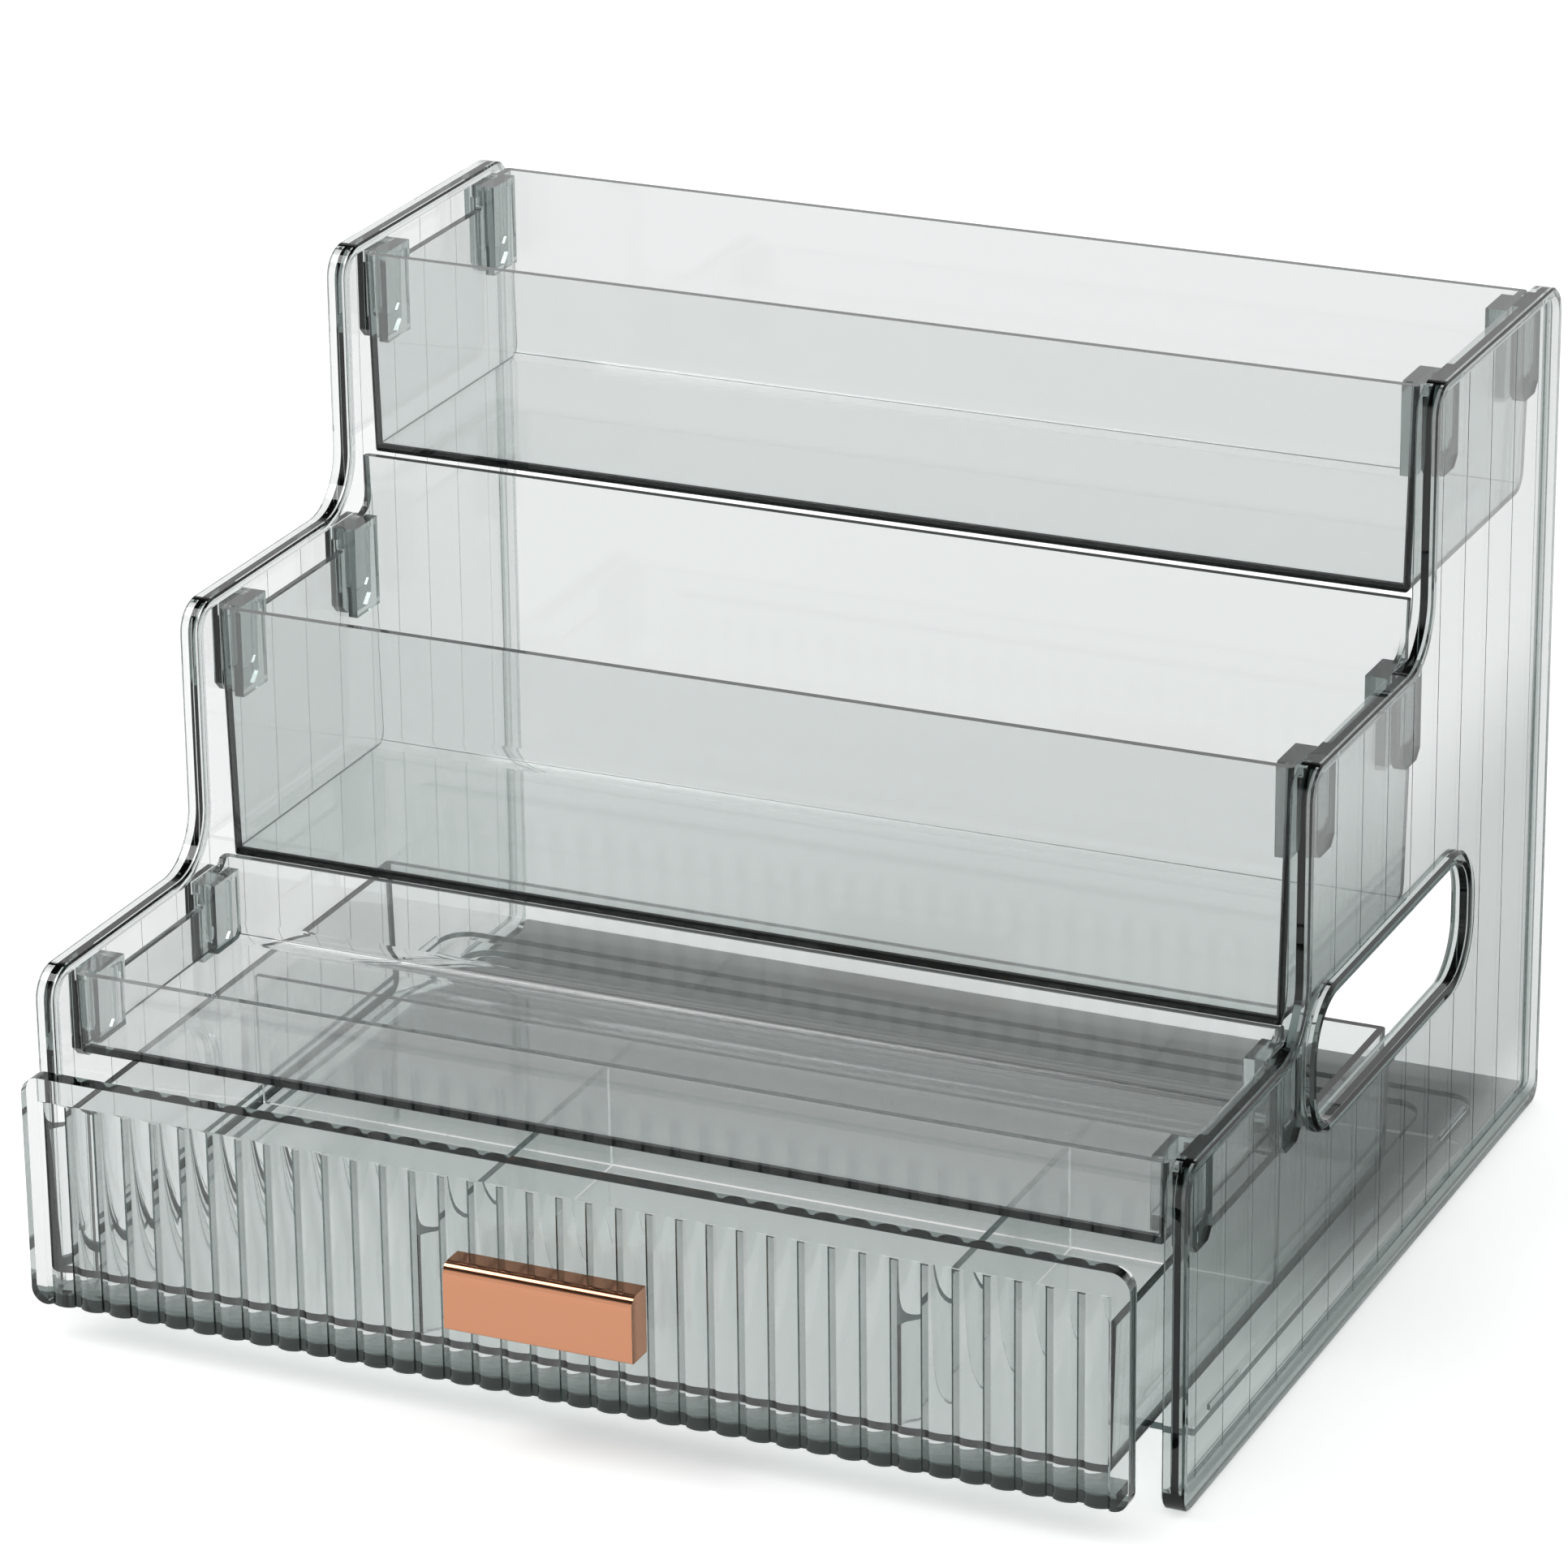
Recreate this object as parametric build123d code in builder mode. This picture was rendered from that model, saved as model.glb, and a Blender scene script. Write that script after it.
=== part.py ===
"""Stepped, clear plastic makeup organizer: two side panels, three lift-off trays and a drawer.

Millimetres. +Z is up, -Y is the front, and the origin lies under the middle of the whole object.
"""
import math
import os
from collections import namedtuple

from build123d import *

os.makedirs("parts", exist_ok=True)

# Whole object
width = 300.0
panel_depth = 258.0
low_height = 88.0
mid_height = 156.0
high_height = 224.0
mid_riser = 79.0
high_riser = 163.0

# Side panels
rim_width = 5.6
rim_thickness = 2.3
foot_thickness = 4.3
plate_thickness = 2.0
plate_setback = 1.8
step_corner_radius = 8.0
step_fillet_radius = 15.0
foot_corner_radius = 5.0
rim_edge_chamfer = 0.5
groove_pitch = 18.0
groove_width = 0.4
groove_depth = 0.12
groove_margin = 4.0

# Handle slot in the right panel
slot_length = 112.0
slot_height = 32.0
slot_corner_radius = 13.0
slot_centre_depth = 142.5
slot_centre_height = 76.5
collar_width = 3.3
collar_chamfer = 0.8

# Trays
tray_side_gap = 1.8
tray_clearance = 0.3
tray_setback = 7.0
tray_gap = 1.5
tray_rear_gap = 5.0
tray_wall = 2.0
tray_draft = 1.3
tray_edge_radius = 1.2
lip_drop = 2.0
side_lip_drop = 6.0
side_lip_radius = 2.0
low_tray_depth = 20.5
mid_tray_depth = 66.0
high_tray_depth = 53.0
low_tray_scoop = 5.5
deep_tray_scoop = 5.5
low_back_rise = 2.6
mid_back_rise = 14.6
high_back_rise = 0.0
back_sweep_radius = 6.0

# Clips: a hook and a boss on the tray's wall, and a pad with two rails on the panel
hook_width = 8.0
hook_length = 18.0
hook_tip_chamfer = 1.5
hook_clearance = 0.3
lug_height = 3.2
lug_gap = 0.1
boss_reach = 3.1
rail_width = 2.0
clip_height = 24.0
clip_chamfer = 2.5
clip_inset = 9.5
low_clip_rear_inset = 9.0
deep_clip_rear_inset = 12.0

# Base frame with the drawer runner
base_clearance = 1.0
base_floor = 2.5
base_floor_front = 90.0
runner_top = 16.8
runner_wall = 2.0
runner_front = 13.0
runner_rear_gap = 42.0
ledge_thickness = 2.0
ledge_reach = 9.4
ledge_rear_reach = 9.0
ledge_corner_radius = 8.0
base_fit = 0.1
shoulder_height = 2.0
latch_length = 20.0
latch_height = 1.4
latch_depth = 0.8

# Drawer
drawer_open = 20.0
glide_gap = 0.2
box_side_gap = 4.9
box_depth = 181.0
box_headroom = 10.5
box_wall = 2.0
box_draft = 1.5
box_scoop = 6.0
box_edge_radius = 1.5
front_gap = 0.6
front_fit = 0.15
front_inset = 1.0
front_bottom = 9.0
front_top_drop = 18.5
front_plate = 2.8
front_top_radius = 5.0
front_bottom_radius = 4.0
front_border = 4.5
front_top_border = 6.0
flute_pitch = 7.75
flute_rise = 1.5
flute_crown = 0.95
flute_groove = 1.6
flute_wall_run = 0.15
field_slope = 45.0
lip_height = 3.4
stop_gap = 0.3

# Dividers in the drawer
divider_thickness = 1.8
divider_drop = 9.9
cross_divider_drop = 1.9
cross_divider_depth = 102.0
left_divider_x = -38.0
right_divider_x = 86.0
divider_fit = 0.1

# Pull and its screws
pull_width = 49.0
pull_height = 17.0
pull_bar = 8.0
pull_foot = 3.9
pull_foot_margin = 3.0
pull_fit = 0.1
pull_drop = 1.25
pull_top_radius = 3.0
pull_edge_radius = 0.8
screw_spacing = 28.0
screw_diameter = 3.0
screw_clearance = 0.4
screw_thread_depth = 7.0
screw_thread_clearance = 0.2
screw_tip_gap = 1.0
screw_head_diameter = 5.6
screw_head_height = 1.8

# Places across the width, on the right half
rim_outer = width / 2
rim_inner = rim_outer - rim_width
plate_outer = rim_outer - plate_setback
plate_inner = plate_outer - plate_thickness
tray_half = rim_inner - tray_side_gap
wall_middle = tray_half - tray_wall / 2
boss_inner = tray_half - tray_wall - boss_reach
hook_outer = rim_inner - hook_clearance
rail_inner = tray_half + tray_clearance
box_half = rim_inner - box_side_gap
front_half = rim_inner - front_gap

# Places along the depth, with the whole object centred on the origin
drawer_projection = drawer_open - front_inset + pull_fit + pull_foot + pull_bar
panel_front = (drawer_projection - panel_depth) / 2
panel_rear = panel_front + panel_depth
crest = panel_front + front_inset - drawer_open
valley = crest + flute_rise
pull_seat = crest - pull_fit
front_back = valley + front_plate
box_front = front_back + front_fit
box_rear = box_front + box_depth
runner_start = panel_front + runner_front
runner_end = panel_rear - runner_rear_gap

# Trays, where clips are the depths of their clips and rise lifts the back wall above the lip
Tray = namedtuple("Tray", "name front rear lip depth scoop clips rise")
low_lip = low_height - lip_drop
mid_lip = mid_height - lip_drop
high_lip = high_height - lip_drop
low_front = panel_front + tray_setback
mid_front = panel_front + mid_riser + tray_setback
high_front = panel_front + high_riser + tray_setback
low_rear = mid_front - tray_gap
mid_rear = high_front - tray_gap
high_rear = panel_rear - tray_rear_gap
low_clips = (low_front + clip_inset, low_rear - low_clip_rear_inset)
mid_clips = (mid_front + clip_inset, mid_rear - deep_clip_rear_inset)
high_clips = (high_front + clip_inset, high_rear - deep_clip_rear_inset)
trays = (
    Tray(
        "bottom_tray",
        low_front,
        low_rear,
        low_lip,
        low_tray_depth,
        low_tray_scoop,
        low_clips,
        low_back_rise,
    ),
    Tray(
        "middle_tray",
        mid_front,
        mid_rear,
        mid_lip,
        mid_tray_depth,
        deep_tray_scoop,
        mid_clips,
        mid_back_rise,
    ),
    Tray(
        "top_tray",
        high_front,
        high_rear,
        high_lip,
        high_tray_depth,
        deep_tray_scoop,
        high_clips,
        high_back_rise,
    ),
)
channel_width = hook_width + 2 * hook_clearance
clip_width = channel_width + 2 * rail_width


def panel_outline(inset=0.0, foot_inset=0.0):
    """Stepped panel outline with rounded steps, moved inwards by the insets."""
    front = panel_front + inset
    rear = panel_rear - inset
    middle = panel_front + mid_riser + inset
    back = panel_front + high_riser + inset
    low = low_height - inset
    mid = mid_height - inset
    high = high_height - inset
    steps = ((rear, high), (back, high), (middle, mid), (front, low))
    hollows = ((back, mid), (middle, low))
    feet = ((front, foot_inset), (rear, foot_inset))
    with BuildSketch() as outline:
        with BuildLine():
            Polyline(
                (front, foot_inset),
                (rear, foot_inset),
                (rear, high),
                (back, high),
                (back, mid),
                (middle, mid),
                (middle, low),
                (front, low),
                close=True,
            )
        make_face()
        for places, radius in (
            (hollows, step_fillet_radius + inset),
            (steps, step_corner_radius - inset),
            (feet, foot_corner_radius - inset),
        ):
            corners = outline.vertices()
            fillet([corners.sort_by_distance((y, z, 0))[0] for y, z in places], radius)
    return outline.sketch


# Side panel without a slot, as the right one, which both panels start from
with BuildPart() as plain_panel:
    # T-section rim: a ring round the stepped outline, with a thicker foot
    with BuildSketch(Plane.YZ.offset(rim_inner)) as rim:
        add(panel_outline())
        add(panel_outline(rim_thickness, foot_thickness), mode=Mode.SUBTRACT)
    extrude(amount=rim_width)
    rim_faces = plain_panel.faces().filter_by(Axis.X)
    chamfer([edge for face in rim_faces for edge in face.outer_wire().edges()], rim_edge_chamfer)
    # Plate inside the rim, with vertical hairline grooves on its outer face
    with BuildSketch(Plane.YZ.offset(plate_inner)) as plate:
        add(panel_outline(rim_thickness / 2, foot_thickness / 2))
    extrude(amount=plate_thickness)
    groove_count = int((panel_depth - 2 * rim_thickness) / groove_pitch)
    with BuildSketch(Plane.YZ.offset(plate_outer)) as grooves:
        with Locations(((panel_front + panel_rear) / 2, high_height / 2)):
            with GridLocations(groove_pitch, 0, groove_count, 1):
                Rectangle(groove_width, high_height)
        add(panel_outline(groove_margin, foot_thickness), mode=Mode.INTERSECT)
    extrude(amount=-groove_depth, mode=Mode.SUBTRACT)
    # Pads with two rails each, which the tray hooks slide down between and their lugs rest on
    for tray in trays:
        rail_top = tray.lip - lug_height - lug_gap
        rail_bottom = tray.lip - clip_height
        channel_bottom = tray.lip - hook_length - hook_clearance
        for clip_place in tray.clips:
            with BuildSketch(Plane.YZ.offset(plate_inner)) as pad:
                with Locations((clip_place, tray.lip - clip_height / 2)):
                    Rectangle(clip_width, clip_height)
                chamfer(pad.vertices().group_by(Axis.Y)[0], clip_chamfer)
            extrude(amount=rim_inner - plate_inner)
            with BuildSketch(Plane.YZ.offset(rim_inner)) as rails:
                with Locations((clip_place, (rail_top + rail_bottom) / 2)):
                    Rectangle(clip_width, rail_top - rail_bottom)
                chamfer(rails.vertices().group_by(Axis.Y)[0], clip_chamfer)
                with Locations((clip_place, (rail_top + channel_bottom) / 2)):
                    Rectangle(channel_width, rail_top - channel_bottom, mode=Mode.SUBTRACT)
            extrude(amount=rail_inner - rim_inner)
    # Latches that hold the base frame down on the foot
    with BuildSketch(Plane.YZ.offset(plate_inner)) as latches:
        latch_places = (runner_start + latch_length, runner_end - latch_length)
        with Locations(*((y, runner_top + base_fit + latch_height / 2) for y in latch_places)):
            Rectangle(latch_length, latch_height)
    extrude(amount=-latch_depth)

# Raised collar round the handle slot, which is part of the right side panel
slot_place = (panel_front + slot_centre_depth, slot_centre_height)
with BuildPart() as slot_collar:
    with BuildSketch(Plane.YZ.offset(rim_inner)) as collar:
        with Locations(slot_place):
            RectangleRounded(
                slot_length + 2 * collar_width,
                slot_height + 2 * collar_width,
                slot_corner_radius + collar_width,
            )
            RectangleRounded(slot_length, slot_height, slot_corner_radius, mode=Mode.SUBTRACT)
    extrude(amount=rim_width)
    chamfer(slot_collar.faces().filter_by(Axis.X).edges(), collar_chamfer)

# Right side panel, with the handle slot and its collar
with BuildPart() as right_side_panel:
    add(plain_panel.part)
    with BuildSketch(Plane.YZ.offset(rail_inner)) as slot:
        with Locations(slot_place):
            RectangleRounded(slot_length, slot_height, slot_corner_radius)
    extrude(amount=rim_outer - rail_inner, mode=Mode.SUBTRACT)
    add(slot_collar.part)
right_side_panel.part.label = "right_side_panel"
export_step(right_side_panel.part, "parts/right_side_panel.step")

# Left side panel, which has no slot
with BuildPart() as left_side_panel:
    mirror(plain_panel.part, about=Plane.YZ)
left_side_panel.part.label = "left_side_panel"
export_step(left_side_panel.part, "parts/left_side_panel.step")

# Base frame: floor, runner walls and a U-shaped ledge, with shoulders that sit on the panels' feet
base_half = rim_inner - base_fit
ledge_half = plate_inner - base_fit
runner_length = runner_end - runner_start
runner_middle = (runner_start + runner_end) / 2
with BuildPart() as base_frame:
    with BuildSketch(Plane.XY.offset(base_clearance)) as floor:
        with Locations((0, (panel_front + base_floor_front + panel_rear) / 2)):
            Rectangle(2 * base_half, panel_rear - panel_front - base_floor_front)
    extrude(amount=base_floor)
    with BuildSketch(Plane.XY.offset(base_clearance)) as walls:
        with Locations((0, runner_middle)):
            Rectangle(2 * base_half, runner_length)
        fillet(walls.vertices().group_by(Axis.Y)[-1], ledge_corner_radius)
        with Locations((0, runner_middle - runner_wall)):
            Rectangle(2 * (base_half - runner_wall), runner_length, mode=Mode.SUBTRACT)
    extrude(amount=runner_top - base_clearance)
    with BuildSketch(Plane.XY.offset(runner_top)) as ledge:
        with Locations((0, runner_middle)):
            Rectangle(2 * ledge_half, runner_length)
        fillet(ledge.vertices().group_by(Axis.Y)[-1], ledge_corner_radius)
        with BuildSketch(mode=Mode.SUBTRACT) as ledge_opening:
            with Locations((0, runner_middle - ledge_rear_reach)):
                Rectangle(2 * (rim_inner - ledge_reach), runner_length)
            fillet(ledge_opening.vertices().group_by(Axis.Y)[-1], ledge_corner_radius)
    extrude(amount=-ledge_thickness)
    with BuildSketch(Plane.XY.offset(foot_thickness + base_fit)) as shoulders:
        with Locations((0, runner_middle - ledge_corner_radius)):
            Rectangle(2 * ledge_half, runner_length - 2 * ledge_corner_radius)
            Rectangle(2 * (base_half - runner_wall), runner_length, mode=Mode.SUBTRACT)
    extrude(amount=shoulder_height)
base_frame.part.label = "base_frame"
export_step(base_frame.part, "parts/base_frame.step")

# Trays: drafted open boxes with a scooped rear bottom edge and two clips on each side
for tray in trays:
    top = tray.lip + tray.rise
    bottom = tray.lip - tray.depth
    flare = math.tan(math.radians(tray_draft))
    with BuildPart() as tray_part:
        with BuildSketch(Plane.XZ.offset(-tray.front)) as section:
            with BuildLine():
                Polyline(
                    (-tray_half + flare * tray.depth, bottom),
                    (tray_half - flare * tray.depth, bottom),
                    (tray_half + flare * tray.rise, top),
                    (-tray_half - flare * tray.rise, top),
                    close=True,
                )
            make_face()
        extrude(amount=tray.front - tray.rear)
        fillet(tray_part.edges().filter_by(Axis.X).group_by(Axis.Z)[0].sort_by(Axis.Y)[-1], tray.scoop)
        offset(amount=-tray_wall, openings=tray_part.faces().sort_by(Axis.Z)[-1])
        sides = tray_part.faces().sort_by(Axis.X)
        side_edges = sides[0].edges() + sides[-1].edges()
        fillet(side_edges.filter_by(lambda edge: edge.center().Z < top - tray_wall), tray_edge_radius)
        # Front and side walls come down to the lip, dip between the clips and sweep up at the back
        dip_front = tray.clips[0] + clip_width / 2
        dip_rear = tray.clips[1] - clip_width / 2
        sweep_place = tray.rear - tray_wall
        clear_top = top + 2 * back_sweep_radius
        with BuildSketch(Plane.YZ.offset(-rim_outer)) as above_walls:
            with BuildLine():
                Polyline(
                    (tray.front - tray_wall, tray.lip),
                    (dip_front, tray.lip),
                    (dip_front, tray.lip - side_lip_drop),
                    (dip_rear, tray.lip - side_lip_drop),
                    (dip_rear, tray.lip),
                    (sweep_place, tray.lip),
                    (sweep_place, clear_top),
                    (tray.front - tray_wall, clear_top),
                    close=True,
                )
            make_face()
            fillet(above_walls.vertices().group_by(Axis.Y)[0], side_lip_radius)
            sweep_corner = above_walls.vertices().sort_by_distance((sweep_place, tray.lip, 0))[0]
            fillet(sweep_corner, min(back_sweep_radius, (sweep_place - dip_rear) / 2))
        extrude(amount=width, mode=Mode.SUBTRACT)
        # Clips: a hook with a lug outside the wall and a boss inside it
        boss_bottom = max(tray.lip - clip_height, bottom + tray_wall / 2)
        for side in (-1, 1):
            for clip_place in tray.clips:
                with BuildSketch(Plane.YZ.offset(side * wall_middle)) as hook:
                    with Locations((clip_place, tray.lip - hook_length / 2)):
                        Rectangle(hook_width, hook_length)
                    chamfer(hook.vertices().group_by(Axis.Y)[0], hook_tip_chamfer)
                    with Locations((clip_place, tray.lip - lug_height / 2)):
                        Rectangle(clip_width, lug_height)
                extrude(amount=side * (hook_outer - wall_middle))
                with BuildSketch(Plane.YZ.offset(side * wall_middle)) as boss:
                    with Locations((clip_place, (tray.lip + boss_bottom) / 2)):
                        Rectangle(clip_width, tray.lip - boss_bottom)
                extrude(amount=side * (boss_inner - wall_middle))
    tray_part.part.label = tray.name
    export_step(tray_part.part, f"parts/{tray.name}.step")

# Drawer box: floor, sides and rear, closed by the drawer front
box_bottom = runner_top + glide_gap
box_top = low_lip - low_tray_depth - box_headroom
box_height = box_top - box_bottom
front_top = low_height - front_top_drop
pull_centre = (front_top + front_bottom) / 2 - pull_drop
box_bottom_half = box_half - box_height * math.tan(math.radians(box_draft))
screw_places = [(side * screw_spacing / 2, pull_centre) for side in (-1, 1)]
with BuildPart() as drawer_box:
    with BuildSketch(Plane.XZ.offset(-box_front)) as section:
        with BuildLine():
            Polyline(
                (-box_bottom_half, box_bottom),
                (box_bottom_half, box_bottom),
                (box_half, box_top),
                (-box_half, box_top),
                close=True,
            )
        make_face()
    extrude(amount=-box_depth)
    fillet(drawer_box.edges().filter_by(Axis.X).group_by(Axis.Z)[0].sort_by(Axis.Y)[-1], box_scoop)
    box_openings = [drawer_box.faces().sort_by(Axis.Z)[-1], drawer_box.faces().sort_by(Axis.Y)[0]]
    offset(amount=-box_wall, openings=box_openings)
    sides = drawer_box.faces().sort_by(Axis.X)
    side_edges = sides[0].edges() + sides[-1].edges()
    side_edges = side_edges.filter_by(lambda edge: edge.center().Z < box_top - box_wall)
    fillet(side_edges.filter_by(lambda edge: edge.center().Y > box_front + box_wall), box_edge_radius)
drawer_box.part.label = "drawer_box"
export_step(drawer_box.part, "parts/drawer_box.step")

# Drawer front: framed field of convex flutes that runs out at the bottom edge
field_half = front_half - front_border
flute_count = round(2 * field_half / flute_pitch)
flute_step = 2 * field_half / flute_count
field_top = front_top - front_top_border
front_height = front_top - front_bottom
foot_width = pull_width - 2 * pull_foot_margin
foot_height = pull_height - 2 * pull_foot_margin
lip_depth = runner_front - (front_back - panel_front + drawer_open) - stop_gap
with BuildPart() as drawer_front:
    with BuildSketch(Plane.XZ.offset(-front_back)) as plate:
        with Locations((0, (front_top + front_bottom) / 2)):
            Rectangle(2 * front_half, front_height)
        fillet(plate.vertices().group_by(Axis.Y)[-1], front_top_radius)
        fillet(plate.vertices().group_by(Axis.Y)[0], front_bottom_radius)
    extrude(amount=front_plate + flute_rise)
    # Sunken field with sloped edges, open at the bottom
    with BuildSketch(Plane.XZ.offset(-crest)) as field:
        with Locations((0, field_top - front_height)):
            Rectangle(2 * field_half, 2 * front_height)
    extrude(amount=-flute_rise, taper=field_slope, mode=Mode.SUBTRACT)
    # Crowned flutes side by side across the field, with narrow steep grooves between them
    flute_edge = crest + flute_crown
    with BuildSketch(Plane.XY.offset(front_bottom)) as flutes:
        with BuildLine():
            for index in range(flute_count):
                start = index * flute_step - field_half
                end = start + flute_step
                flute_start = start + flute_groove / 2
                flute_end = end - flute_groove / 2
                left_edge = (flute_start + flute_wall_run, flute_edge)
                right_edge = (flute_end - flute_wall_run, flute_edge)
                Polyline((start, valley), (flute_start, valley), left_edge)
                ThreePointArc(left_edge, ((start + end) / 2, crest), right_edge)
                Polyline(right_edge, (flute_end, valley), (end, valley))
            Polyline(
                (field_half, valley),
                (field_half, valley + front_plate / 2),
                (-field_half, valley + front_plate / 2),
                (-field_half, valley),
            )
        make_face()
    extrude(amount=field_top - front_bottom)
    # Flat land behind the pull
    with BuildSketch(Plane.XZ.offset(-valley)) as land:
        with Locations((0, pull_centre)):
            Rectangle(foot_width, foot_height)
    extrude(amount=flute_rise)
    # Stiffening lip along the bottom, which meets the runner when the drawer is shut
    with BuildSketch(Plane.XZ.offset(-front_back)) as lip_section:
        with Locations((0, front_bottom + lip_height / 2)):
            Rectangle(2 * (front_half - front_bottom_radius), lip_height)
    extrude(amount=-lip_depth)
    with BuildSketch(Plane.XZ.offset(-front_back)) as screw_holes:
        with Locations(*screw_places):
            Circle((screw_diameter + screw_clearance) / 2)
    extrude(amount=front_plate + flute_rise, mode=Mode.SUBTRACT)
drawer_front.part.label = "drawer_front"
export_step(drawer_front.part, "parts/drawer_front.step")

# Pull: a bar on a smaller foot, tapped from behind
with BuildPart() as drawer_pull:
    with BuildSketch(Plane.XZ.offset(-pull_seat)) as foot:
        with Locations((0, pull_centre)):
            Rectangle(foot_width, foot_height)
    extrude(amount=pull_foot)
    with BuildSketch(Plane.XZ.offset(-(pull_seat - pull_foot))) as bar:
        with Locations((0, pull_centre)):
            Rectangle(pull_width, pull_height)
    extrude(amount=pull_bar)
    bar_front = drawer_pull.faces().sort_by(Axis.Y)[0]
    top_edge = bar_front.edges().sort_by(Axis.Z)[-1]
    fillet(top_edge, pull_top_radius)
    bar_front = drawer_pull.faces().sort_by(Axis.Y)[0]
    fillet(bar_front.edges().sort_by(Axis.Z)[0], pull_edge_radius)
    with BuildSketch(Plane.XZ.offset(-pull_seat)) as tapped_holes:
        with Locations(*screw_places):
            Circle((screw_diameter + screw_thread_clearance) / 2)
    extrude(amount=screw_thread_depth + screw_tip_gap, mode=Mode.SUBTRACT)
drawer_pull.part.label = "drawer_pull"
export_step(drawer_pull.part, "parts/drawer_pull.step")

# Screws of the pull, put in from behind the drawer front
with BuildPart() as pull_screws:
    with BuildSketch(Plane.XZ.offset(-front_back)) as shanks:
        with Locations(*screw_places):
            Circle(screw_diameter / 2)
    extrude(amount=front_back - pull_seat + screw_thread_depth)
    with BuildSketch(Plane.XZ.offset(-front_back)) as heads:
        with Locations(*screw_places):
            Circle(screw_head_diameter / 2)
    extrude(amount=-screw_head_height)
pull_screws.part.label = "pull_screws"
export_step(pull_screws.part, "parts/pull_screws.step")

# Dividers, standing on the floor of the drawer box
divider_bottom = box_bottom + box_wall + divider_fit
divider_height = box_top - divider_drop - divider_bottom
cross_divider_height = box_top - cross_divider_drop - divider_bottom
inner_front = front_back + divider_fit
cross_front = box_front + cross_divider_depth
inner_bottom_half = box_bottom_half - box_wall / math.cos(math.radians(box_draft)) - divider_fit
with BuildPart() as cross_divider:
    flare = cross_divider_height * math.tan(math.radians(box_draft))
    with BuildSketch(Plane.XZ.offset(-cross_front)) as wall:
        with BuildLine():
            Polyline(
                (-inner_bottom_half, divider_bottom),
                (inner_bottom_half, divider_bottom),
                (inner_bottom_half + flare, divider_bottom + cross_divider_height),
                (-inner_bottom_half - flare, divider_bottom + cross_divider_height),
                close=True,
            )
        make_face()
    extrude(amount=-divider_thickness)
cross_divider.part.label = "cross_divider"
export_step(cross_divider.part, "parts/cross_divider.step")

divider_rear = cross_front - divider_fit
divider_middle = (inner_front + divider_rear) / 2
for name, place in (("left_divider", left_divider_x), ("right_divider", right_divider_x)):
    with BuildPart() as divider:
        with BuildSketch(Plane.YZ.offset(place - divider_thickness / 2)) as wall:
            with Locations((divider_middle, divider_bottom + divider_height / 2)):
                Rectangle(divider_rear - inner_front, divider_height)
        extrude(amount=divider_thickness)
    divider.part.label = name
    export_step(divider.part, f"parts/{name}.step")
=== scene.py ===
"""Looks, light and camera of the stepped, clear smoke-plastic organizer. Metres, +Z up, -Y is the front."""
from math import radians

import bpy
from mathutils import Matrix, Vector


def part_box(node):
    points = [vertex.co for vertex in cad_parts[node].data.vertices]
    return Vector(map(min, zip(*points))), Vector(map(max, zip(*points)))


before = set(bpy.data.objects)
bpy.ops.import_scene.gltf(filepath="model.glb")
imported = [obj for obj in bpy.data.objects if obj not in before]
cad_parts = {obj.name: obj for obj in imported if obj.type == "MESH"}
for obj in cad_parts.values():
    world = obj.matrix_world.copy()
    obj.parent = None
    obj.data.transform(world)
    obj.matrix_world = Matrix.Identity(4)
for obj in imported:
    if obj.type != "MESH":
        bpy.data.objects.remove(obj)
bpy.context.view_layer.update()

WHITE = (1.0, 1.0, 1.0, 1.0)

# Camera, as fitted to the photograph
CAMERA_PLACE = Vector((0.65945, -1.45486, 0.75303))
CAMERA_YAW = radians(24.40)
CAMERA_PITCH = radians(-21.67)
CAMERA_ROLL = radians(-0.70)
CAMERA_FOCAL = 159.85
CAMERA_REACH = 50.0
SENSOR_WIDTH = 36.0

# Clear plastic; the base bends light less and casts no shadow, or its plate shows through the flutes
SMOKE_ABSORPTION_COLOUR = (0.19, 0.29, 0.27, 1.0)
SMOKE_SHADOW = (0.92, 0.935, 0.93, 1.0)
NO_SHADOW = WHITE
PLASTIC_IOR = 1.49
BASE_IOR = 1.04
TRAY_CLARITY = 0.95
SCUFF_SCALE = 900.0
SCUFF_DETAIL = 3.0
SCUFF_ROUGHNESS = (0.0, 0.03)
FLOW_DETAIL = 1.0
FLOW_STRENGTH = 0.02
FLOW_DEPTH = 0.0004

# Density of the smoke in each plastic, and scale of its waviness
# The right panel has denser smoke than the left: a shaded and a lit copy of one plastic
LEFT_PANEL_DENSITY = 70.0
RIGHT_PANEL_DENSITY = 140.0
BASE_DENSITY = 15.0
TRAY_DENSITIES = {"top_tray": 110.0, "middle_tray": 140.0, "bottom_tray": 60.0}
BOX_DENSITY = 95.0
DIVIDER_DENSITY = 70.0
FRONT_DENSITY = 35.0
PANEL_WAVES = 60.0
BASE_WAVES = 50.0
TRAY_WAVES = 55.0
DRAWER_WAVES = 55.0
FRONT_WAVES = 70.0

# Painted shade: edges darkened in the base colour, standing in for the darkness where the light has run a
# long way inside the plastic; also painted shade on the base's floor
EDGE_PAINTED_SHADE = (0.02, 0.03, 0.028, 1.0)
# Painted shade on the panels' rims, light on the left and near black on the right
LEFT_RIM_PAINTED_SHADE = (0.40, 0.44, 0.43, 1.0)
RIGHT_RIM_PAINTED_SHADE = (0.04, 0.055, 0.05, 1.0)
# Painted shade on the flutes' walls, the grooves' floors and the front's top and lip
GROOVE_PAINTED_SHADE = (0.06, 0.08, 0.075, 1.0)
GROOVE_FLOOR_PAINTED_SHADE = 0.6
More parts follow.
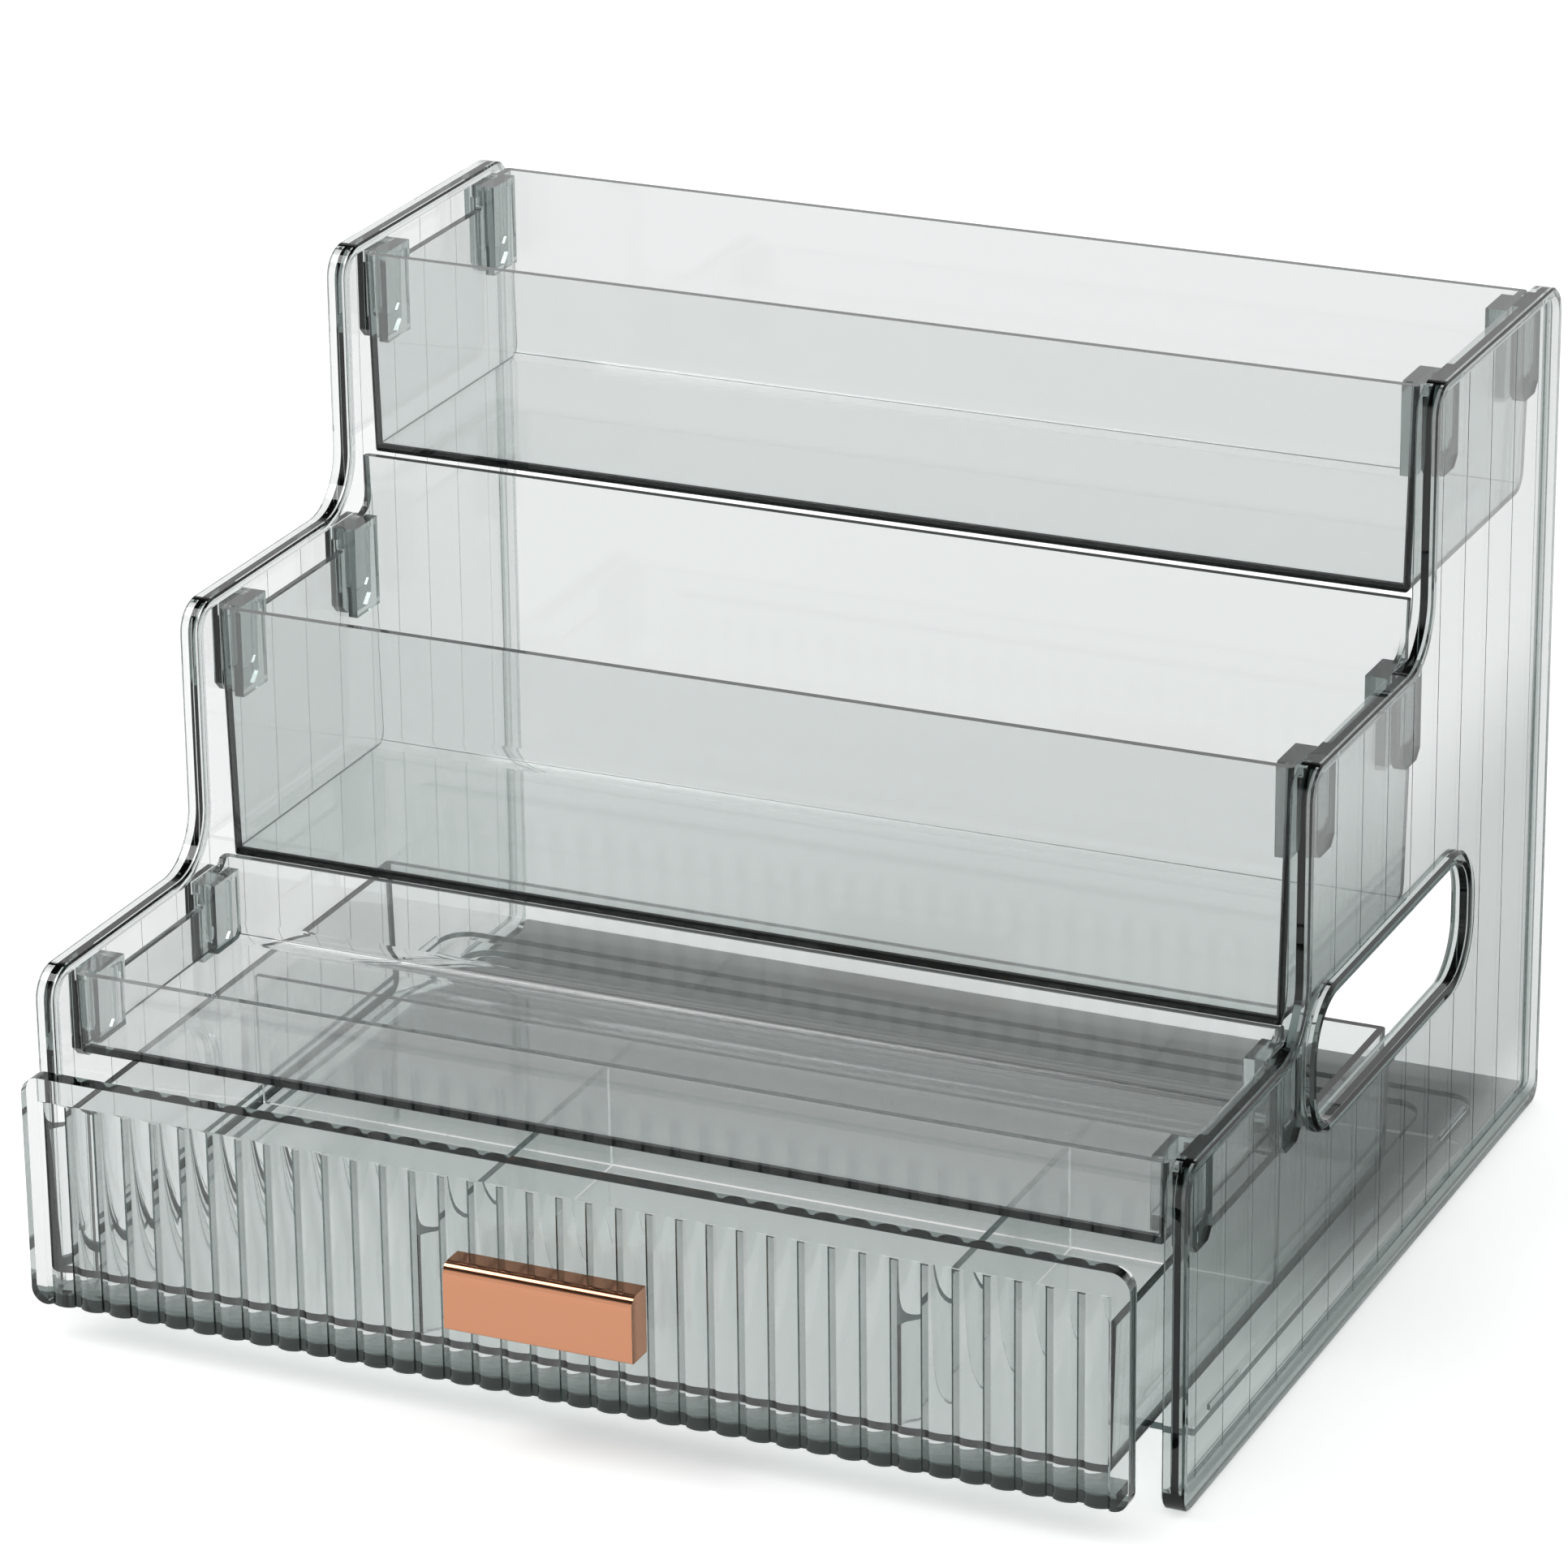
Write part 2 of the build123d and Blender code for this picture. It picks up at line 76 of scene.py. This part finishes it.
# Painted shade on the base's floor, deepening towards its rear between two places along Y
BASE_FLOOR_PAINTED_SHADE = 0.75
BASE_FLOOR_PAINTED_SHADE_SPAN = (-0.02, 0.07)

# How far a face may turn and still count as upright, a rounded corner, a chamfer or a groove's wall
UPRIGHT_LIMIT = 0.7
CORNER_FACING = (0.08, 0.98)
CHAMFER_FACING = (0.3, 0.95)
GROOVE_WALL_FACING = 0.8

# Sizes of edges, measured from the sides of their piece's box
FLAT_TOLERANCE = 0.00005
GROOVE_DEPTH = 0.0015
FRONT_LIP = 0.0034
RAIL_REACH = 0.00145
BASE_PLATE = 0.0026
LEDGE_BOTTOM = 0.0019
LEDGE_TOP = 0.0001
PLATE_EDGE = 0.00195
BOX_EDGE = 0.0038

# Metals: colour, roughness and the stretch of the streaks in their polish
ROSE_GOLD = (0.62, 0.29, 0.17)
ROSE_GOLD_ROUGHNESS = (0.07, 0.15)
PULL_STREAKS = (0.02, 1.0, 1.0)
STEEL = (0.62, 0.62, 0.62)
STEEL_ROUGHNESS = (0.25, 0.4)
EVEN = (1.0, 1.0, 1.0)
STREAK_SCALE = 260.0
STREAK_DETAIL = 6.0
STREAK_DULLNESS = 0.94
STREAK_STRENGTH = 0.06
STREAK_DEPTH = 0.0001

# Light paths: a ray crosses two faces of each of many clear walls
CLEAR_BOUNCES = 48
GLOSSY_BOUNCES = 8
SEEN_RAYS = ("Is Camera Ray", "Is Glossy Ray", "Is Transmission Ray")
FIRST_DIFFUSE = 0.5

# Floor, and the strip beside the right panel that is painted dark only for its reflections, a painted dark
# reflection, from one X to another
FLOOR_HALF = 6.0
FLOOR_DROP = 0.0004
FLOOR_GREYS = (0.93, 0.95)
GRAIN_SCALE = 4.0
GRAIN_DETAIL = 2.0
FLOOR_LIFT = 0.22
BACKDROP_LIFT = 0.16
MIRRORED_GREY = 0.10
DARK_REFLECTION_START = (0.150, 0.168)
DARK_REFLECTION_END = (0.27, 0.22)

# Surround, as light and as seen, and the lamp
SURROUND_LIGHT = 0.75
CEILING_START = 0.38
CEILING_END = 0.60
CEILING_GREY = 0.05
KEY_PLACE = (-0.9, -0.5, 1.6)
KEY_TARGET = (0.0, 0.0, 0.1)
KEY_SIZE = (0.7, 0.7)
KEY_POWER = 9.0


def grey(value):
    """Colour of equal red, green and blue."""
    return (value, value, value, 1.0)


def node_material(name):
    """New material with only an output node, as (material, nodes, links, output)."""
    material = bpy.data.materials.new(name)
    material.use_nodes = True
    nodes = material.node_tree.nodes
    nodes.clear()
    output = nodes.new("ShaderNodeOutputMaterial")
    return material, nodes, material.node_tree.links, output


def noise(nodes, links, scale, detail, stretch=EVEN):
    """Noise in object space, stretched along the axes, as its Fac socket."""
    place = nodes.new("ShaderNodeTexCoord")
    mapping = nodes.new("ShaderNodeMapping")
    mapping.inputs["Scale"].default_value = stretch
    texture = nodes.new("ShaderNodeTexNoise")
    texture.inputs["Scale"].default_value = scale
    texture.inputs["Detail"].default_value = detail
    links.new(place.outputs["Object"], mapping.inputs["Vector"])
    links.new(mapping.outputs["Vector"], texture.inputs["Vector"])
    return texture.outputs["Fac"]


def ranged(nodes, links, socket, span):
    """Socket's 0 to 1 mapped to a span's first to second number."""
    node = nodes.new("ShaderNodeMapRange")
    node.inputs["To Min"].default_value, node.inputs["To Max"].default_value = span
    links.new(socket, node.inputs["Value"])
    return node.outputs["Result"]


def faded(nodes, links, socket, span):
    """0 to 1 while the socket goes from a span's first to its second number."""
    node = nodes.new("ShaderNodeMapRange")
    node.interpolation_type = "SMOOTHSTEP"
    node.inputs["From Min"].default_value, node.inputs["From Max"].default_value = span
    links.new(socket, node.inputs["Value"])
    return node.outputs["Result"]


def blended(nodes, links, socket, first, second):
    """Colour that goes from the first to the second while the socket goes from 0 to 1."""
    ramp = nodes.new("ShaderNodeValToRGB")
    ramp.color_ramp.elements[0].color = first
    ramp.color_ramp.elements[1].color = second
    links.new(socket, ramp.inputs["Fac"])
    return ramp.outputs["Color"]


def bump(nodes, links, socket, strength, distance):
    """Normal that follows the socket as a height."""
    node = nodes.new("ShaderNodeBump")
    node.inputs["Strength"].default_value = strength
    node.inputs["Distance"].default_value = distance
    links.new(socket, node.inputs["Height"])
    return node.outputs["Normal"]


def mixed(nodes, links, socket, first, second):
    """The first shader where the socket is 0, and the second where it is 1."""
    mix = nodes.new("ShaderNodeMixShader")
    links.new(socket, mix.inputs["Fac"])
    links.new(first, mix.inputs[1])
    links.new(second, mix.inputs[2])
    return mix.outputs["Shader"]


def sums(nodes, links, operation, first, second=None):
    """Math node on sockets or numbers, as its output."""
    node = nodes.new("ShaderNodeMath")
    node.operation = operation
    for value, socket in ((first, node.inputs[0]), (second, node.inputs[1])):
        if isinstance(value, (int, float)):
            socket.default_value = value
        elif value is not None:
            links.new(value, socket)
    return node.outputs[0]


def object_place(nodes, links):
    """Place on the piece in metres, as X, Y and Z sockets."""
    place = nodes.new("ShaderNodeTexCoord")
    split = nodes.new("ShaderNodeSeparateXYZ")
    links.new(place.outputs["Object"], split.inputs["Vector"])
    return split.outputs


def facing(nodes, links):
    """How far a face looks sideways, to the front or back and up or down, as three 0 to 1 sockets."""
    place = nodes.new("ShaderNodeTexCoord")
    split = nodes.new("ShaderNodeSeparateXYZ")
    links.new(place.outputs["Normal"], split.inputs["Vector"])
    return [sums(nodes, links, "ABSOLUTE", split.outputs[axis]) for axis in "XYZ"]


def between(nodes, links, socket, low, high):
    """1 where the socket lies between two numbers."""
    above = sums(nodes, links, "GREATER_THAN", socket, low)
    below = sums(nodes, links, "LESS_THAN", socket, high)
    return sums(nodes, links, "MULTIPLY", above, below)


def upright_band(nodes, links, low, high):
    """1 on the upright faces between two heights, which show the edge of a plate."""
    height = object_place(nodes, links)["Z"]
    upright = sums(nodes, links, "LESS_THAN", facing(nodes, links)[2], UPRIGHT_LIMIT)
    return sums(nodes, links, "MULTIPLY", between(nodes, links, height, low, high), upright)


def rim_edges(nodes, links):
    """Mask of painted shade: 1 on the chamfers of a panel's rim and collar, and on the rails of its clips.
    """
    chamfers = between(nodes, links, facing(nodes, links)[0], *CHAMFER_FACING)
    across = sums(nodes, links, "ABSOLUTE", object_place(nodes, links)["X"])
    rail_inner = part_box("right_side_panel")[0][0]
    rails = sums(nodes, links, "LESS_THAN", across, rail_inner + RAIL_REACH)
    return sums(nodes, links, "MAXIMUM", chamfers, rails)


def tray_edges(node):
    """Mask of painted shade that is 1 on a tray's rounded side edges and on the edge of its floor."""
    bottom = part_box(node)[0][2]

    def mask(nodes, links):
        band = upright_band(nodes, links, bottom, bottom + PLATE_EDGE)
        corners = between(nodes, links, facing(nodes, links)[0], *CORNER_FACING)
        return sums(nodes, links, "MAXIMUM", band, corners)

    return mask


def box_edges(nodes, links):
    """Mask of painted shade: 1 along the bottom and rear edges of the drawer box's sides."""
    low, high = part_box("drawer_box")
    place = object_place(nodes, links)
    bottom = sums(nodes, links, "LESS_THAN", place["Z"], low[2] + BOX_EDGE)
    rear = sums(nodes, links, "GREATER_THAN", place["Y"], high[1] - BOX_EDGE)
    sides = sums(nodes, links, "GREATER_THAN", facing(nodes, links)[0], CORNER_FACING[0])
    return sums(nodes, links, "MULTIPLY", sides, sums(nodes, links, "MAXIMUM", bottom, rear))


def ledge_edges_and_painted_floor_shade(nodes, links):
    """1 on the edges of the base's runner ledge, and a painted shade that deepens to the rear of its floor.
    """
    low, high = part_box("base_frame")
    place = object_place(nodes, links)
    # Painted shade: the base's floor darkens towards its rear
    depth = faded(nodes, links, place["Y"], BASE_FLOOR_PAINTED_SHADE_SPAN)
    depth = sums(nodes, links, "MULTIPLY", depth, BASE_FLOOR_PAINTED_SHADE)
    floor = sums(nodes, links, "LESS_THAN", place["Z"], low[2] + BASE_PLATE)
    shade = sums(nodes, links, "MULTIPLY", floor, depth)
    ledge = upright_band(nodes, links, high[2] - LEDGE_BOTTOM, high[2] - LEDGE_TOP)
    return sums(nodes, links, "MAXIMUM", shade, ledge)


def groove_walls(nodes, links):
    """Mask of painted shade on the fluted front: 1 on the walls between the flutes and the front's top and
    bottom edge, less on the grooves' floors.
    """
    low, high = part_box("drawer_front")
    place = object_place(nodes, links)
    groove_floor = low[1] + GROOVE_DEPTH
    walls = sums(nodes, links, "GREATER_THAN", facing(nodes, links)[0], GROOVE_WALL_FACING)
    floors = between(nodes, links, place["Y"], groove_floor - FLAT_TOLERANCE, groove_floor + FLAT_TOLERANCE)
    floors = sums(nodes, links, "MULTIPLY", floors, GROOVE_FLOOR_PAINTED_SHADE)
    top = sums(nodes, links, "GREATER_THAN", place["Z"], high[2] - FLAT_TOLERANCE)
    lip = sums(nodes, links, "LESS_THAN", place["Z"], low[2] + FRONT_LIP)
    mask = walls
    for other in (floors, top, lip):
        mask = sums(nodes, links, "MAXIMUM", mask, other)
    return mask


def smoke_plastic(
    name,
    density,
    waves,
    edges=None,
    edge_painted_shade=EDGE_PAINTED_SHADE,
    clarity=1.0,
    ior=PLASTIC_IOR,
    shade_cast=SMOKE_SHADOW,
):
    """Clear, polished, moulded plastic with a smoky tint, painted shade on its edges and a faint flow
    waviness.
    """
    material, nodes, links, output = node_material(name)
    clear = nodes.new("ShaderNodeBsdfPrincipled")
    clear.inputs["Base Color"].default_value = WHITE
    clear.inputs["Transmission Weight"].default_value = clarity
    clear.inputs["IOR"].default_value = ior
    # Painted shade: where the mask is 1, the base colour darkens to the edge shade
    if edges:
        tint = blended(nodes, links, edges(nodes, links), WHITE, edge_painted_shade)
        links.new(tint, clear.inputs["Base Color"])
    scuffs = noise(nodes, links, SCUFF_SCALE, SCUFF_DETAIL)
    links.new(ranged(nodes, links, scuffs, SCUFF_ROUGHNESS), clear.inputs["Roughness"])
    flow = noise(nodes, links, waves, FLOW_DETAIL)
    links.new(bump(nodes, links, flow, FLOW_STRENGTH, FLOW_DEPTH), clear.inputs["Normal"])
    shadow = nodes.new("ShaderNodeBsdfTransparent")
    shadow.inputs["Color"].default_value = shade_cast
    path = nodes.new("ShaderNodeLightPath")
    in_shadow = path.outputs["Is Shadow Ray"]
    surface = mixed(nodes, links, in_shadow, clear.outputs["BSDF"], shadow.outputs["BSDF"])
    links.new(surface, output.inputs["Surface"])
    smoke = nodes.new("ShaderNodeVolumeAbsorption")
    smoke.inputs["Color"].default_value = SMOKE_ABSORPTION_COLOUR
    smoke.inputs["Density"].default_value = density
    links.new(smoke.outputs["Volume"], output.inputs["Volume"])
    return material


def metal(name, colour, roughness, stretch):
    """Plated metal with fine streaks in its polish."""
    material, nodes, links, output = node_material(name)
    shader = nodes.new("ShaderNodeBsdfPrincipled")
    shader.inputs["Metallic"].default_value = 1.0
    streaks = noise(nodes, links, STREAK_SCALE, STREAK_DETAIL, stretch)
    dull = tuple(STREAK_DULLNESS * channel for channel in colour)
    tint = blended(nodes, links, streaks, dull + (1.0,), colour + (1.0,))
    links.new(tint, shader.inputs["Base Color"])
    links.new(ranged(nodes, links, streaks, roughness), shader.inputs["Roughness"])
    links.new(bump(nodes, links, streaks, STREAK_STRENGTH, STREAK_DEPTH), shader.inputs["Normal"])
    links.new(shader.outputs["BSDF"], output.inputs["Surface"])
    return material


def dress(material, *names):
    """Gives the named nodes a material."""
    for name in names:
        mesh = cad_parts[name].data
        mesh.materials.clear()
        mesh.materials.append(material)


def dress_frame():
    """Side panels and base."""
    # The right panel gets denser smoke and darker painted shade on its rims than the left: a shaded and a
    # lit copy of one plastic
    for side, density, colour in (
        ("left", LEFT_PANEL_DENSITY, LEFT_RIM_PAINTED_SHADE),
        ("right", RIGHT_PANEL_DENSITY, RIGHT_RIM_PAINTED_SHADE),
    ):
        plastic = smoke_plastic(f"{side}_panel_plastic", density, PANEL_WAVES, rim_edges, colour)
        dress(plastic, f"{side}_side_panel")
    plastic = smoke_plastic(
        "base_plastic", BASE_DENSITY, BASE_WAVES, ledge_edges_and_painted_floor_shade, ior=BASE_IOR, shade_cast=NO_SHADOW
    )
    dress(plastic, "base_frame")


def dress_trays():
    """The three trays, each with its own depth of smoke."""
    for node, density in TRAY_DENSITIES.items():
        # Each tray gets dark painted shade on its edges
        edges = tray_edges(node)
        plastic = smoke_plastic(f"{node}_plastic", density, TRAY_WAVES, edges, clarity=TRAY_CLARITY)
        dress(plastic, node)


def dress_drawer():
    """Box, dividers, fluted front, pull and its screws."""
    dress(smoke_plastic("box_plastic", BOX_DENSITY, DRAWER_WAVES, box_edges), "drawer_box")
    divider_plastic = smoke_plastic("divider_plastic", DIVIDER_DENSITY, DRAWER_WAVES)
    dress(divider_plastic, "left_divider", "right_divider", "cross_divider")
    # The fluted front gets dark painted shade on its groove walls, top and lip
    front_plastic = smoke_plastic("front_plastic", FRONT_DENSITY, FRONT_WAVES, groove_walls, GROOVE_PAINTED_SHADE)
    dress(front_plastic, "drawer_front")
    dress(metal("rose_gold", ROSE_GOLD, ROSE_GOLD_ROUGHNESS, PULL_STREAKS), "drawer_pull")
    dress(metal("screw_steel", STEEL, STEEL_ROUGHNESS, EVEN), "pull_screws")


def seen_ray(nodes, links, *kinds):
    """1 where a surface or the surround is seen by these kinds of ray, and 0 where it only lights."""
    path = nodes.new("ShaderNodeLightPath")
    seen = path.outputs[kinds[0]]
    for kind in kinds[1:]:
        seen = sums(nodes, links, "MAXIMUM", seen, path.outputs[kind])
    direct = sums(nodes, links, "LESS_THAN", path.outputs["Diffuse Depth"], FIRST_DIFFUSE)
    return sums(nodes, links, "MULTIPLY", seen, direct)


def painted_reflection_strip(nodes, links):
    """1 on the strip beside the right panel, painted dark for reflected rays that haven't passed through
    plastic.
    """
    path = nodes.new("ShaderNodeLightPath")
    refracted = path.outputs["Is Transmission Ray"]
    reflected = sums(nodes, links, "SUBTRACT", path.outputs["Is Glossy Ray"], refracted)
    across = object_place(nodes, links)["X"]
    start = faded(nodes, links, across, DARK_REFLECTION_START)
    end = faded(nodes, links, across, DARK_REFLECTION_END)
    return sums(nodes, links, "MULTIPLY", reflected, sums(nodes, links, "MULTIPLY", start, end))


def floor_material():
    """Pale and matt, lifted to white where it is seen, with a painted dark reflection where the right panel
    mirrors it.
    """
    material, nodes, links, output = node_material("pale_floor")
    matt = nodes.new("ShaderNodeBsdfDiffuse")
    grain = noise(nodes, links, GRAIN_SCALE, GRAIN_DETAIL)
    low, high = FLOOR_GREYS
    links.new(blended(nodes, links, grain, grey(low), grey(high)), matt.inputs["Color"])
    seen = sums(nodes, links, "MULTIPLY", seen_ray(nodes, links, *SEEN_RAYS), FLOOR_LIFT)
    straight = sums(nodes, links, "MULTIPLY", seen_ray(nodes, links, "Is Camera Ray"), BACKDROP_LIFT)
    lift = nodes.new("ShaderNodeEmission")
    links.new(sums(nodes, links, "ADD", seen, straight), lift.inputs["Strength"])
    pale = nodes.new("ShaderNodeAddShader")
    links.new(matt.outputs["BSDF"], pale.inputs[0])
    links.new(lift.outputs["Emission"], pale.inputs[1])
    dark = nodes.new("ShaderNodeBsdfDiffuse")
    dark.inputs["Color"].default_value = grey(MIRRORED_GREY)
    dark_in_reflection = painted_reflection_strip(nodes, links)
    surface = mixed(nodes, links, dark_in_reflection, pale.outputs["Shader"], dark.outputs["BSDF"])
    links.new(surface, output.inputs["Surface"])
    return material


def make_floor():
    """One large square just under the object."""
    mesh = bpy.data.meshes.new("floor")
    corners = ((-1, -1), (1, -1), (1, 1), (-1, 1))
    points = [(FLOOR_HALF * x, FLOOR_HALF * y, -FLOOR_DROP) for x, y in corners]
    mesh.from_pydata(points, [], [(0, 1, 2, 3)])
    mesh.materials.append(floor_material())
    floor = bpy.data.objects.new("floor", mesh)
    bpy.context.scene.collection.objects.link(floor)


def make_world():
    """Studio surround: an even light, seen as a bright horizon under a dark ceiling."""
    world = bpy.data.worlds.new("studio")
    world.use_nodes = True
    nodes = world.node_tree.nodes
    links = world.node_tree.links
    nodes.clear()
    output = nodes.new("ShaderNodeOutputWorld")
    place = nodes.new("ShaderNodeTexCoord")
    split = nodes.new("ShaderNodeSeparateXYZ")
    links.new(place.outputs["Generated"], split.inputs["Vector"])
    ramp = nodes.new("ShaderNodeValToRGB")
    horizon, ceiling = ramp.color_ramp.elements
    horizon.position = CEILING_START
    horizon.color = WHITE
    ceiling.position = CEILING_END
    ceiling.color = grey(CEILING_GREY)
    links.new(split.outputs["Z"], ramp.inputs["Fac"])
    seen = nodes.new("ShaderNodeBackground")
    links.new(ramp.outputs["Color"], seen.inputs["Color"])
    light = nodes.new("ShaderNodeBackground")
    light.inputs["Color"].default_value = WHITE
    light.inputs["Strength"].default_value = SURROUND_LIGHT
    by_eye = seen_ray(nodes, links, *SEEN_RAYS)
    surround = mixed(nodes, links, by_eye, light.outputs["Background"], seen.outputs["Background"])
    links.new(surround, output.inputs["Surface"])
    bpy.context.scene.world = world


def make_lamp():
    """Soft key light from the upper left."""
    lamp = bpy.data.lights.new("key", "AREA")
    lamp.shape = "RECTANGLE"
    lamp.size, lamp.size_y = KEY_SIZE
    lamp.energy = KEY_POWER
    lamp_object = bpy.data.objects.new("key", lamp)
    lamp_object.location = KEY_PLACE
    aim = Vector(KEY_TARGET) - Vector(KEY_PLACE)
    lamp_object.rotation_euler = aim.to_track_quat("-Z", "Y").to_euler()
    bpy.context.scene.collection.objects.link(lamp_object)


def make_camera():
    """Camera at the photograph's angle."""
    camera = bpy.data.cameras.new("photo_camera")
    camera.sensor_width = SENSOR_WIDTH
    camera.lens = CAMERA_FOCAL
    camera.clip_end = CAMERA_REACH
    camera_object = bpy.data.objects.new("photo_camera", camera)
    turn = Matrix.Rotation(CAMERA_YAW, 4, "Z") @ Matrix.Rotation(radians(90.0) + CAMERA_PITCH, 4, "X")
    roll = Matrix.Rotation(CAMERA_ROLL, 4, "Z")
    camera_object.matrix_world = Matrix.Translation(CAMERA_PLACE) @ turn @ roll
    bpy.context.scene.collection.objects.link(camera_object)
    bpy.context.scene.camera = camera_object


dress_frame()
dress_trays()
dress_drawer()
make_floor()
make_world()
make_lamp()
make_camera()

scene = bpy.context.scene
scene.view_settings.view_transform = "Standard"
scene.cycles.max_bounces = CLEAR_BOUNCES
scene.cycles.transmission_bounces = CLEAR_BOUNCES
scene.cycles.transparent_max_bounces = CLEAR_BOUNCES
scene.cycles.glossy_bounces = GLOSSY_BOUNCES
